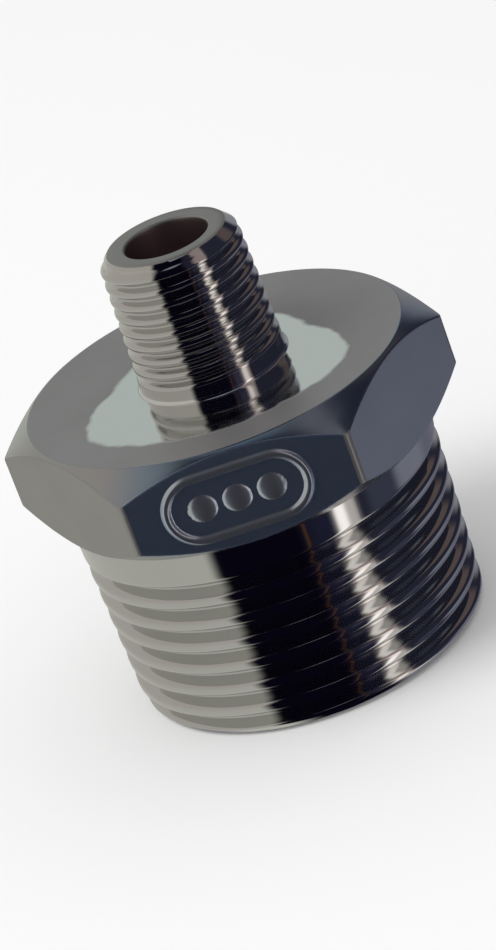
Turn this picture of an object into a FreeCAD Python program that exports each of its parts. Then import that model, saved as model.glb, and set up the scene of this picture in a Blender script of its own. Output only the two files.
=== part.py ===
# Hexagon reducing nipple: one cast and turned stainless steel fitting that joins a 1 inch
# pipe socket to a 1/4 inch one. A spanner hexagon sits between two tapered shanks.
# Millimetres and degrees. The origin is the centre of the large end face, where the fitting
# stands, and +Z runs along the bore to the small end. The marked flat of the hexagon faces -Y.

import FreeCAD, Part
import os
import Sketcher

NODE = "reducing_nipple"

# Driving dimensions: name, value, what it is.
SIZES = [
    ("across_flats", 35.5, "hexagon, flat to flat"),
    ("hexagon_height", 9.3, "hexagon, along the bore"),
    ("hexagon_disc_inset", 0.3, "from the hexagon's flats in to the turned flat above and below"),
    ("hexagon_chamfer_angle", 37.0, "fall of the turned corners below that flat"),
    ("hexagon_edge_radius", 0.6, "rounding of the six upright edges"),
    ("thread_taper", 0.0625, "growth of diameter over length, both shanks"),
    ("thread_angle", 55.0, "between the two flanks of the large groove"),
    ("thread_pitch", 2.309, "large thread, 11 turns to the inch"),
    ("thread_depth_ratio", 0.640327, "depth of the groove over the pitch"),
    ("runout_turns", 0.3, "part of a turn in which the groove fades out"),
    ("large_thread_length", 17.8, "large end face to the end of the last full groove"),
    ("large_neck_length", 1.5, "last full groove to hexagon"),
    ("large_gauge_diameter", 33.249, "over the crests at the gauge plane"),
    ("large_gauge_length", 10.391, "large end face to gauge plane"),
    ("large_end_bevel", 0.8, "45 degree bevel of the large rim"),
    ("large_bore_diameter", 25.0, "waterway on the large side"),
    ("bore_cone_angle", 45.0, "wall of the cone in the waterway against the bore's axis"),
    ("crown_thickness", 1.65, "narrow end of that cone to the hexagon's upper flat"),
    ("small_bore_diameter", 7.7, "waterway on the small side"),
    ("small_shank_length", 13.0, "hexagon to small end face"),
    ("small_gauge_diameter", 13.157, "over the crests at the gauge plane"),
    ("small_gauge_length", 6.01, "small end face to gauge plane"),
    ("small_end_bevel", 0.95, "45 degree bevel of the small rim"),
    ("mark_length", 13.3, "raised obround frame, end to end"),
    ("mark_margin", 1.35, "above and below the frame, to the hexagon's flats"),
    ("mark_shift", 0.4, "frame and studs, off the middle of their flat towards -X"),
    ("mark_rib_width", 0.7, "rib of the frame"),
    ("mark_relief", 0.3, "how far the frame and its studs stand proud"),
    ("stud_diameter", 2.4, "plain round studs inside the frame"),
    ("stud_spacing", 3.1, "between the middles of two neighbouring studs"),
]

# Lengths and planes that follow from the sheet, as expressions.
LARGE_SHANK = "(sizes.large_thread_length + sizes.large_neck_length)"
SHANKS = {"large": LARGE_SHANK, "small": "sizes.small_shank_length"}
HEXAGON_BASE = LARGE_SHANK
HEXAGON_MIDDLE = f"({HEXAGON_BASE} + sizes.hexagon_height / 2)"
HEXAGON_TOP = f"({HEXAGON_BASE} + sizes.hexagon_height)"
OVERALL = f"({HEXAGON_TOP} + sizes.small_shank_length)"

# How far cutting outlines reach past the metal, in millimetres.
CLEAR = "1"

# The groove's section reaches past the crests by this share of the pitch.
OVERCUT = "0.08"


def fill_sheet(doc):
    """Puts the driving dimensions into a spreadsheet, one named cell each."""
    sheet = doc.addObject("Spreadsheet::Sheet", "sizes")
    for row, (alias, value, note) in enumerate(SIZES, start=1):
        sheet.set(f"A{row}", note)
        sheet.set(f"B{row}", repr(value))
        sheet.setAlias(f"B{row}", alias)
    doc.recompute()


def value_of(body, expression):
    """Works an expression on the sheet out as a plain number."""
    result = body.evalExpression(expression)
    return float(getattr(result, "Value", result))


def new_sketch(body, name, role="XZ_Plane", offset=None):
    """Starts a sketch on one of the body's origin planes, moved along its normal."""
    sketch = body.newObject("Sketcher::SketchObject", name)
    plane = [item for item in body.Origin.OriginFeatures if item.Role == role][0]
    sketch.AttachmentSupport = [(plane, "")]
    sketch.MapMode = "FlatFace"
    if offset:
        sketch.setExpression("AttachmentOffset.Base.z", offset)
    return sketch


def bind(body, sketch, kind, geometry, expression):
    """Adds a size constraint and ties it to an expression on the sheet."""
    size = value_of(body, expression)
    number = sketch.addConstraint(Sketcher.Constraint(kind, *geometry, size))
    sketch.setExpression(f"Constraints[{number}]", expression)


def pin_point(body, sketch, geometry, point, across, up):
    """Ties a point of the sketch to its place across and up. An empty one lies on the axis."""
    for kind, axis, expression in (("DistanceX", -2, across), ("DistanceY", -1, up)):
        if expression:
            bind(body, sketch, kind, (-1, 1, geometry, point), expression)
        else:
            sketch.addConstraint(Sketcher.Constraint("PointOnObject", geometry, point, axis))


def spot(body, across, up):
    """The point of a sketch that two expressions give."""
    return FreeCAD.Vector(*(value_of(body, text or "0") for text in (across, up)), 0)


def add_outline(body, sketch, corners):
    """Draws a closed outline of straight lines through corners given as expressions."""
    spots = [spot(body, *corner) for corner in corners]
    lines = [
        sketch.addGeometry(Part.LineSegment(start, end))
        for start, end in zip(spots, spots[1:] + spots[:1])
    ]
    for line, following in zip(lines, lines[1:] + lines[:1]):
        sketch.addConstraint(Sketcher.Constraint("Coincident", line, 2, following, 1))
    for line, corner in zip(lines, corners):
        pin_point(body, sketch, line, 1, *corner)


def add_slot(body, sketch, length, height, across, up):
    """Draws an obround about a centre given as expressions: two lines and two half circles."""
    reach = f"({length} - {height}) / 2"
    radius = f"{height} / 2"
    half = value_of(body, reach)
    rise = value_of(body, radius)
    centre = spot(body, across, up)
    normal = FreeCAD.Vector(0, 0, 1)
    quarter = FreeCAD.Units.Quantity("90 deg").getValueAs("rad").Value
    arcs = []
    for side, start in ((1, -quarter), (-1, quarter)):
        circle = Part.Circle(centre + FreeCAD.Vector(side * half, 0, 0), normal, rise)
        arcs.append(sketch.addGeometry(Part.ArcOfCircle(circle, start, start + 2 * quarter)))
    for side, first, second in ((1, *arcs), (-1, *reversed(arcs))):
        start, end = (
            centre + FreeCAD.Vector(turn * side * half, side * rise, 0) for turn in (1, -1)
        )
        line = sketch.addGeometry(Part.LineSegment(start, end))
        sketch.addConstraint(Sketcher.Constraint("Tangent", first, 2, line, 1))
        sketch.addConstraint(Sketcher.Constraint("Tangent", line, 2, second, 1))
    pin_point(body, sketch, arcs[0], 3, f"{across} + {reach}", up)
    bind(body, sketch, "Radius", (arcs[0],), radius)
    pin_point(body, sketch, arcs[1], 3, f"{across} - {reach}", up)


def add_circle(body, sketch, across, up, radius):
    """Draws a circle whose centre and radius are expressions."""
    normal = FreeCAD.Vector(0, 0, 1)
    circle = Part.Circle(spot(body, across, up), normal, value_of(body, radius))
    number = sketch.addGeometry(circle)
    pin_point(body, sketch, number, 3, across, up)
    bind(body, sketch, "Radius", (number,), radius)


def add_pad(body, name, sketch, length):
    """Raises a sketch along its normal."""
    pad = body.newObject("PartDesign::Pad", name)
    pad.Profile = sketch
    pad.setExpression("Length", length)
    body.Document.recompute()
    return pad


def add_turned(body, kind, name, sketch):
    """Turns a sketch round the bore's axis, as metal added or cut away."""
    feature = body.newObject(kind, name)
    feature.Profile = sketch
    feature.ReferenceAxis = (sketch, ["V_Axis"])
    feature.Angle = 360
    body.Document.recompute()
    return feature


def level(end, distance):
    """Height above the large end face of a plane at a distance from one of the end faces."""
    return distance if end == "large" else f"({OVERALL} - ({distance}))"


def crest_radius(end, distance):
    """Radius over the thread's crests at a distance from its end face."""
    return (
        f"(sizes.{end}_gauge_diameter / 2"
        f" + (({distance}) - sizes.{end}_gauge_length) * sizes.thread_taper / 2)"
    )


def add_hexagon(body):
    """The spanner hexagon, with rounded upright edges and corners turned off both sides."""
    outline = new_sketch(body, "hexagon_outline", "XY_Plane", HEXAGON_BASE)
    reach = "sizes.across_flats / 2 / cos(30 deg)"
    add_outline(body, outline, [
        (f"{reach} * cos({turn} deg)", "" if turn % 180 == 0 else f"{reach} * sin({turn} deg)")
        for turn in range(0, 360, 60)
    ])
    hexagon = add_pad(body, "hexagon", outline, "sizes.hexagon_height")

    rounding = body.newObject("PartDesign::Fillet", "hexagon_edges")
    rounding.Base = (hexagon, [
        f"Edge{number}"
        for number, edge in enumerate(hexagon.Shape.Edges, start=1)
        if abs(edge.tangentAt(edge.FirstParameter).z) > 0.9
    ])
    rounding.setExpression("Radius", "sizes.hexagon_edge_radius")
    body.Document.recompute()

    # Each corner is turned to a cone that starts at the rim of the flat disc.
    section = new_sketch(body, "corner_section")
    disc = "(sizes.across_flats / 2 - sizes.hexagon_disc_inset)"
    outside = f"({reach} + {CLEAR})"
    fall = f"({outside} - {disc}) * tan(sizes.hexagon_chamfer_angle * 1 deg)"
    for plane, sign in ((HEXAGON_TOP, "-"), (HEXAGON_BASE, "+")):
        add_outline(body, section, [
            (disc, plane),
            (outside, plane),
            (outside, f"{plane} {sign} {fall}"),
        ])
    add_turned(body, "PartDesign::Groove", "turned_corners", section)


def add_shank(body, end):
    """One shank as turned before threading: bevelled rim, tapered barrel up to the hexagon."""
    length = SHANKS[end]
    bevel = f"sizes.{end}_end_bevel"
    face = "" if end == "large" else level(end, "0")
    section = new_sketch(body, f"{end}_shank_section")
    add_outline(body, section, [
        ("", face),
        (f"{crest_radius(end, bevel)} - {bevel}", face),
        (crest_radius(end, bevel), level(end, bevel)),
        (crest_radius(end, length), level(end, length)),
        ("", level(end, length)),
    ])
    add_turned(body, "PartDesign::Revolution", f"{end}_shank", section)


def add_waterway(body):
    """The bore: wide on the large side, a cone inside the hexagon, narrow on the small side."""
    wide = "sizes.large_bore_diameter / 2"
    narrow = "sizes.small_bore_diameter / 2"
    cone_end = f"({HEXAGON_TOP} - sizes.crown_thickness)"
    cone_start = f"{cone_end} - ({wide} - {narrow}) / tan(sizes.bore_cone_angle * 1 deg)"
    section = new_sketch(body, "waterway_section")
    add_outline(body, section, [
        ("", f"-{CLEAR}"),
        (wide, f"-{CLEAR}"),
        (wide, cone_start),
        (narrow, cone_end),
        (narrow, f"{OVERALL} + {CLEAR}"),
        ("", f"{OVERALL} + {CLEAR}"),
    ])
    add_turned(body, "PartDesign::Groove", "waterway", section)


def add_thread(body):
    """The large taper thread: a groove wound to the end face, and its run-out by the neck.

    Both windings start from one section of the groove, in the middle of the last full turn.
    The section has the thread's flanks and true depth, and leaves broad crests.
    """
    doc = body.Document
    pitch = "sizes.thread_pitch"
    start = f"(sizes.large_thread_length - {pitch} / 2)"
    crest = crest_radius("large", start)
    root = f"({crest} - {pitch} * sizes.thread_depth_ratio)"
    mouth = f"({crest} + {pitch} * {OVERCUT})"
    half_width = f"({mouth} - {root}) * tan(sizes.thread_angle / 2 * 1 deg)"
    section = new_sketch(body, "groove_section", "YZ_Plane")
    add_outline(body, section, [
        (root, start),
        (mouth, f"{start} + {half_width}"),
        (mouth, f"{start} - {half_width}"),
    ])

    # The windings start above +Y. The downward one is turned over, which keeps its hand.
    upright = FreeCAD.Rotation(FreeCAD.Vector(0, 0, 1), 90)
    turned_over = upright * FreeCAD.Rotation(FreeCAD.Vector(1, 0, 0), 180)
    windings = (
        ("thread", turned_over, f"{start} + {pitch}", "-atan(sizes.thread_taper / 2)"),
        (
            "runout",
            upright,
            f"{pitch} * sizes.runout_turns",
            f"atan(({mouth} - {root}) / ({pitch} * sizes.runout_turns))",
        ),
    )
    for name, rotation, height, angle in windings:
        # A path that is one edge per turn keeps the groove whole over many turns.
        path = doc.addObject("Part::Helix", f"{name}_path")
        path.SegmentLength = 1
        path.setExpression("Pitch", pitch)
        path.setExpression("Height", height)
        path.setExpression("Radius", crest)
        path.setExpression("Angle", angle)
        path.Placement.Rotation = rotation
        path.setExpression("Placement.Base.z", start)
        doc.recompute()
        groove = body.newObject("PartDesign::SubtractivePipe", name)
        groove.Profile = section
        groove.Spine = (path, [f"Edge{number + 1}" for number in range(len(path.Shape.Edges))])
        groove.Mode = "Binormal"
        groove.Binormal = FreeCAD.Vector(0, 0, 1)
        groove.Refine = False
        doc.recompute()


def add_mark(body):
    """The raised mark on one flat: an obround frame round a row of three plain studs."""
    flat = "sizes.across_flats / 2"
    middle = "-sizes.mark_shift"
    height = "(sizes.hexagon_height - 2 * sizes.mark_margin)"
    rib = "2 * sizes.mark_rib_width"
    frame = new_sketch(body, "frame_outline", offset=flat)
    add_slot(body, frame, "sizes.mark_length", height, middle, HEXAGON_MIDDLE)
    add_slot(
        body, frame, f"(sizes.mark_length - {rib})", f"({height} - {rib})", middle, HEXAGON_MIDDLE
    )
    add_pad(body, "mark_frame", frame, "sizes.mark_relief")
    studs = new_sketch(body, "stud_outlines", offset=flat)
    for shift in ("- sizes.stud_spacing", "", "+ sizes.stud_spacing"):
        add_circle(body, studs, f"{middle} {shift}", HEXAGON_MIDDLE, "sizes.stud_diameter / 2")
    add_pad(body, "mark_studs", studs, "sizes.mark_relief")


def check_fitting(doc, body):
    """Stops the build when a feature failed or left the fitting's metal as it was."""
    for item in doc.Objects:
        if "Invalid" in item.State or "Error" in item.State:
            raise RuntimeError(f"{item.Name}: {item.State}")
    gains = ("PartDesign::Pad", "PartDesign::Revolution")
    losses = ("PartDesign::Groove", "PartDesign::SubtractivePipe", "PartDesign::Fillet")
    volume = 0.0
    for feature in body.Group:
        if feature.TypeId in gains + losses:
            change = feature.Shape.Volume - volume
            if change * (1 if feature.TypeId in gains else -1) <= 0:
                raise RuntimeError(f"{feature.Name} changes the volume by {change}")
            print(f"{feature.Name}: {change:+.2f} cubic mm")
            volume = feature.Shape.Volume
    shape = body.Shape
    if shape.isNull() or not shape.isValid() or len(shape.Solids) != 1:
        raise RuntimeError(f"{NODE} is not one valid solid")
    print(f"{NODE}: {shape.Volume:.1f} cubic mm, {shape.BoundBox}")


def main():
    """Builds the fitting, checks it and writes its STEP file."""
    doc = FreeCAD.newDocument("reducing_nipple")
    fill_sheet(doc)
    body = doc.addObject("PartDesign::Body", "nipple_body")
    body.Label = NODE
    add_hexagon(body)
    add_shank(body, "large")
    add_shank(body, "small")
    add_waterway(body)
    add_mark(body)
    add_thread(body)
    doc.recompute()
    check_fitting(doc, body)
    os.makedirs("parts", exist_ok=True)
    body.Shape.exportStep(f"parts/{NODE}.step")


main()
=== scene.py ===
"""Looks of a hexagon reducing nipple in cast and turned stainless steel.

The fitting is one closed surface worked out with numpy: a profile with rounded corners that
is carried round the bore's axis, with both taper threads wound on it as true helices. A cast
relief stands on one flat of the hexagon. Lengths are millimetres until a mesh is made.
"""

import logging
import math
from dataclasses import dataclass, field
from enum import Enum

import bpy
import numpy as np
from mathutils import Matrix, Vector


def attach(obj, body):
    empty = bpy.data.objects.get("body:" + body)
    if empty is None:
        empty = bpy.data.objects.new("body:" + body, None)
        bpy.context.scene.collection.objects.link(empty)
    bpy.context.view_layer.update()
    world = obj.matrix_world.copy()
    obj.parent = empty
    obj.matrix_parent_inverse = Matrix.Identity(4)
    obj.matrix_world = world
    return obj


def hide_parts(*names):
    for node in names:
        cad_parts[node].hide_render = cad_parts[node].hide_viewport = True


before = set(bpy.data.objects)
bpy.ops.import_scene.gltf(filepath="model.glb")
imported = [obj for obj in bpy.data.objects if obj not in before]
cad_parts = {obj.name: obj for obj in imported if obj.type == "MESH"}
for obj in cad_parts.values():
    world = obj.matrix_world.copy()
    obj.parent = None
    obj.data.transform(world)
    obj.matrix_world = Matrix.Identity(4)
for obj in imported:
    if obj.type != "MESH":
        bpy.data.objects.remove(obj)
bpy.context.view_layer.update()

NODE = "reducing_nipple"
MM = 0.001
TURN = 2 * math.pi
# In metres: where a place is nearer to the axis, materials divide by this.
LEAST_RADIUS = 0.001
LOG = logging.getLogger("reducing_nipple")


class Zone(Enum):
    """Where on the fitting a face lies, which decides its finish."""

    THREAD = 0
    FACE = 1
    FLAT = 2
    BORE = 3
    DISC = 4
    FRONT = 5
    CHAMFER = 6
    RELIEF = 7


def smooth_step(value: np.ndarray) -> np.ndarray:
    """Rises from 0 to 1 as value goes from 0 to 1, level at both ends: 3v^2 - 2v^3."""
    share = np.clip(value, 0.0, 1.0)
    return share * share * (3.0 - 2.0 * share)


def soft_minimum(first: np.ndarray, second: np.ndarray, width: float) -> np.ndarray:
    """The smaller of two values, with the corner where they cross rounded over a width.

    Args:
        first: One surface's radius.
        second: The other surface's radius.
        width: Difference below which the two are blended.

    Returns:
        min(a, b) less max(width - |a - b|, 0)^2 / (4 width).
    """
    near = np.maximum(width - np.abs(first - second), 0.0)
    return np.minimum(first, second) - near * near / (4.0 * width)


def rounded_profile(
    corners: np.ndarray, radii: list[float], steps: list[int], shares: list[list[float]]
) -> np.ndarray:
    """Rounds the corners of a profile whose corners may differ from column to column.

    Each inner corner becomes an arc of its radius that is tangent to both of its runs: from
    the arc's start it goes forward by radius * sin(turn) and aside by radius * (1 - cos(turn)).

    Args:
        corners: Corner points, shape (corners, columns, 2), as radius and height.
        radii: Radius of each inner corner.
        steps: Number of intervals on each inner corner's arc.
        shares: For each run, where between its ends it gets further points.

    Returns:
        Points of the rounded profile, shape (rows, columns, 2), with both ends.
    """
    runs = np.diff(corners, axis=0)
    heading = runs / np.linalg.norm(runs, axis=2, keepdims=True)
    aside = np.stack([-heading[..., 1], heading[..., 0]], axis=-1)
    before, after = heading[:-1], heading[1:]
    turn = np.arctan2((aside[:-1] * after).sum(-1), (before * after).sum(-1))
    size = np.asarray(radii)[:, None]
    reach = size * np.tan(np.abs(turn) / 2.0)
    starts = corners[1:-1] - before * reach[..., None]
    ends = corners[1:-1] + after * reach[..., None]
    rows = [corners[:1]]
    last = corners[0]
    for number in range(len(radii) + 1):
        following = starts[number] if number < len(radii) else corners[-1]
        for share in shares[number]:
            rows.append((last + (following - last) * share)[None])
        if number == len(radii):
            rows.append(corners[-1:])
            break
        angle = np.linspace(0.0, 1.0, steps[number] + 1)[:, None] * np.abs(turn[number])
        forward = (size[number] * np.sin(angle))[..., None] * before[number]
        sideways = (size[number] * (1.0 - np.cos(angle)) * np.sign(turn[number]))[..., None]
        rows.append(starts[number] + forward + sideways * aside[:-1][number])
        last = ends[number]
    return np.concatenate(rows)


def band_zones(kinds: list[Zone], steps: list[int], shares: list[list[float]]) -> list[Zone]:
    """The zone of each band of a rounded profile, whose runs and arcs take turns.

    Args:
        kinds: Zone of the first run, of the first arc, of the second run and so on.
        steps: Number of intervals on each arc.
        shares: For each run, where between its ends it has further points.

    Returns:
        One zone for each band between two rows of the profile.
    """
    counts = [len(points) + 1 for points in shares]
    for place, number in enumerate(steps):
        counts.insert(2 * place + 1, number)
    return [kind for kind, number in zip(kinds, counts) for _ in range(number)]


@dataclass(frozen=True)
class TaperThread:
    """A right-hand taper pipe thread with 55 degree flanks and broad crests.

    Attributes:
        pitch: Rise of one turn.
        gauge_diameter: Size over the crests at the gauge plane.
        gauge_length: End face to gauge plane.
        end_height: Height of the end face.
        inward: 1 where heights grow from the end face to the hexagon, -1 where they fall.
        last_groove: Height of the groove's middle over +Y in its last full turn.
        face_bevel: Size of the 45 degree bevel at the end face.
        offsets: Where rows of the mesh lie, as shares of the pitch, from root to mid crest.
        taper: How much the diameter grows over each unit of length.
        depth_share: Full depth of the groove, as a share of the pitch.
        flank_lean: Degrees between a flank and the radius.
        root_rounding: Radius in the root, as a share of the pitch.
        crest_rounding: Radius on each edge of the crest, as a share of the pitch.
        runout_turns: Part of a turn over which the groove fades out.
        runout_excess: How far past the crest the groove is lifted there, in pitches.
        bevel_blend: Width over which thread and bevel blend.
        origin_turn: Where turns are counted from, in turns from +X: a quarter is +Y.
    """

    pitch: float
    gauge_diameter: float
    gauge_length: float
    end_height: float
    inward: int
    last_groove: float
    face_bevel: float
    offsets: tuple[float, ...]
    taper: float = 0.0625
    depth_share: float = 0.640327
    flank_lean: float = 27.5
    root_rounding: float = 0.10
    crest_rounding: float = 0.18
    runout_turns: float = 0.3
    runout_excess: float = 0.08
    bevel_blend: float = 0.12
    origin_turn: float = 0.25

    def crest(self, height: np.ndarray) -> np.ndarray:
        """Radius over the crests: it grows by half the taper with distance from the end."""
        distance = self.inward * (height - self.end_height)
        return self.gauge_diameter / 2 + (distance - self.gauge_length) * self.taper / 2

    def form(self, offset: np.ndarray, lift: np.ndarray) -> np.ndarray:
        """Height of the thread's section above its sharp root, both as shares of the pitch.

        A rounded root, a straight flank that leans from the radius, a rounded crest edge and
        a level crest. A lift moves the groove outwards, as where the tool backs out.

        Args:
            offset: Distance from the groove's middle, from 0 to 0.5.
            lift: How far the groove is moved outwards.

        Returns:
            The section's height, at most the full depth.
        """
        lean = math.radians(self.flank_lean)
        root = self.root_rounding
        arc = root / math.sin(lean) - np.sqrt(
            np.maximum(root**2 - np.minimum(offset, root) ** 2, 0.0)
        )
        line = offset / math.tan(lean)
        groove = np.where(offset < root * math.cos(lean), arc, line) + lift
        past = (groove - self.depth_share) * math.tan(lean)
        reach = self.crest_rounding * math.tan((math.pi / 2 - lean) / 2)
        inside = np.clip(reach - past, 0.0, self.crest_rounding)
        edge = (
            self.depth_share
            - self.crest_rounding
            + np.sqrt(np.maximum(self.crest_rounding**2 - inside**2, 0.0))
        )
        start = -reach * math.sin(lean)
        return np.where(past < start, groove, np.where(past < reach, edge, self.depth_share))

    def radius(self, height: np.ndarray, angle: np.ndarray) -> np.ndarray:
        """Radius of the threaded shank at a height and an angle round the axis.

        The crests' cone less the depth of the nearest groove, cut by the cone of the bevel.

        Args:
            height: Height above the large end face.
            angle: Angle round the axis from +X, in radians.

        Returns:
            The radius there.
        """
        turns = (height - self.last_groove) / self.pitch - (angle / TURN - self.origin_turn)
        nearest = np.round(turns)
        along = (nearest + angle / TURN - self.origin_turn) * self.inward
        full_lift = self.depth_share + self.runout_excess
        lift = np.maximum(along / self.runout_turns, 0.0) * full_lift
        form = self.form(np.abs(turns - nearest), lift)
        threaded = self.crest(height) - self.pitch * (self.depth_share - form)
        distance = self.inward * (height - self.end_height)
        rim = self.crest(self.end_height + self.inward * self.face_bevel) - self.face_bevel
        return soft_minimum(threaded, rim + distance, self.bevel_blend)

    def steps(self) -> np.ndarray:
        """Where in one turn of the pitch the rows lie, from one root to the next."""
        half = np.asarray(self.offsets)
        return np.concatenate([half, 1.0 - half[-2:0:-1]])


@dataclass
class SurfaceBuilder:
    """Gathers rings of vertices and the faces between them into one closed mesh.

    Attributes:
        angles: Angle of each column round the axis, rising from 0.
        points: Arrays of points gathered so far.
        faces: Arrays of faces gathered so far.
        zones: The zone of each face, array by array.
        count: How many points there are so far.
        snap: Share of a row's rise within which a point on a helix takes the ring's vertex.
    """

    angles: np.ndarray
    points: list[np.ndarray] = field(default_factory=list)
    faces: list[np.ndarray] = field(default_factory=list)
    zones: list[np.ndarray] = field(default_factory=list)
    count: int = 0
    snap: float = 0.12

    def add_points(self, radius: np.ndarray, height: np.ndarray, angle: np.ndarray) -> np.ndarray:
        """Adds points: (radius * cos(angle), radius * sin(angle), height).

        Args:
            radius: Distance of each point from the axis.
            height: Height of each point.
            angle: Angle of each point round the axis.

        Returns:
            The new vertices' numbers, in the shape of the radius.
        """
        spots = np.stack(
            [radius * np.cos(angle), radius * np.sin(angle), np.broadcast_to(height, radius.shape)],
            axis=-1,
        )
        self.points.append(spots.reshape(-1, 3))
        numbers = np.arange(self.count, self.count + radius.size).reshape(radius.shape)
        self.count += radius.size
        return numbers

    def add_rings(self, profile: np.ndarray) -> np.ndarray:
        """Adds rings from a profile of shape (rows, columns, 2) and returns their numbers."""
        angle = np.broadcast_to(self.angles, profile.shape[:2])
        return self.add_points(profile[..., 0], profile[..., 1], angle)

    def add_faces(self, faces: np.ndarray, zone: Zone) -> None:
        """Keeps faces, where a fourth corner of -1 means a triangle."""
        self.faces.append(faces)
        self.zones.append(np.full(len(faces), zone.value))

    def join(self, rings: np.ndarray, zones: list[Zone]) -> None:
        """Closes the bands between successive rings.

        Args:
            rings: Vertex numbers, one row for each ring.
            zones: The zone of each band.
        """
        right = np.roll(rings, -1, axis=1)
        for row, zone in enumerate(zones):
            band = [rings[row], rings[row + 1], right[row + 1], right[row]]
            self.add_faces(np.stack(band, axis=-1), zone)

    def rezone(self, old: Zone, new: Zone, start: float, end: float) -> None:
        """Gives the faces of a zone between two angles another zone, band by band.

        Args:
            old: The zone that the faces have.
            new: The zone that they get.
            start: Angle where the change begins.
            end: Angle where it ends, less than a turn further.
        """
        middle = self.angles + (np.roll(self.angles, -1) - self.angles) % TURN / 2
        chosen = (middle - start) % TURN < end - start
        for zones in self.zones:
            if len(zones) == len(chosen):
                zones[chosen & (zones == old.value)] = new.value

    def wind(self, thread: TaperThread, low: np.ndarray, high: np.ndarray,
             levels: tuple[float, float], zone: Zone) -> None:
        """Covers a threaded shank between two level rings with rows that follow the helix.

        Row k of turn m lies at groove + pitch * (m + share k + angle / turn), so the row that
        leaves at the last column goes on at the first, one turn further. A point past either
        level ring takes the ring's own vertex, which leaves triangles along the ring.

        Args:
            thread: The thread that gives the radius.
            low: Vertex numbers of the lower ring.
            high: Vertex numbers of the upper ring.
            levels: Heights of the two rings.
            zone: Finish of the faces.
        """
        shares = thread.steps()
        rows = len(shares)
        first = math.floor((levels[0] - thread.last_groove) / thread.pitch) - 2
        last = math.ceil((levels[1] - thread.last_groove) / thread.pitch) + 2
        turns = (np.arange(first, last)[:, None] + shares).reshape(-1, 1)
        angle = self.angles[None, :]
        height = thread.last_groove + thread.pitch * (turns + angle / TURN - thread.origin_turn)
        margin = self.snap * thread.pitch / rows
        inside = (height > levels[0] + margin) & (height < levels[1] - margin)
        angle = np.broadcast_to(angle, height.shape)
        numbers = np.where(height > sum(levels) / 2, high[None, :], low[None, :])
        numbers[inside] = self.add_points(
            thread.radius(height[inside], angle[inside]), height[inside], angle[inside]
        )
        right = np.roll(numbers, -1, axis=1)
        right[:-rows, -1] = numbers[rows:, 0]
        right[-rows:, -1] = high[0]
        corners = [numbers[1:], numbers[:-1], right[:-1], right[1:]]
        faces = np.stack(corners, axis=-1).reshape(-1, 4)
        left_shut = faces[:, 0] == faces[:, 1]
        right_shut = faces[:, 2] == faces[:, 3]
        faces[left_shut] = faces[left_shut][:, [0, 2, 3, 3]]
        faces[left_shut | right_shut, 3] = -1
        self.add_faces(faces[~(left_shut & right_shut)], zone)

    def mesh(self, name: str) -> bpy.types.Mesh:
        """Puts the gathered points and faces into a mesh, in metres and smooth-shaded."""
        faces = np.concatenate(self.faces)
        return make_mesh(name, np.concatenate(self.points), faces, np.concatenate(self.zones))


def make_mesh(
    name: str, points: np.ndarray, faces: np.ndarray, zones: np.ndarray
) -> bpy.types.Mesh:
    """Makes a smooth mesh from points in millimetres and faces of three or four corners.

    Args:
        name: The mesh's name.
        points: Points, shape (points, 3).
        faces: Corner numbers, shape (faces, 4), with -1 for a missing fourth corner.
        zones: Material index of each face.

    Returns:
        The mesh, in metres.
    """
    mesh = bpy.data.meshes.new(name)
    totals = (faces >= 0).sum(axis=1)
    corners = faces[faces >= 0]
    mesh.vertices.add(len(points))
    mesh.vertices.foreach_set("co", (points * MM).astype(np.float32).ravel())
    mesh.loops.add(len(corners))
    mesh.loops.foreach_set("vertex_index", corners.astype(np.int32))
    mesh.polygons.add(len(faces))
    mesh.polygons.foreach_set("loop_start", (np.cumsum(totals) - totals).astype(np.int32))
    mesh.polygons.foreach_set("material_index", zones.astype(np.int32))
    mesh.polygons.foreach_set("use_smooth", np.ones(len(faces), bool))
    mesh.update(calc_edges=True)
    mesh.validate()
    return mesh


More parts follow.
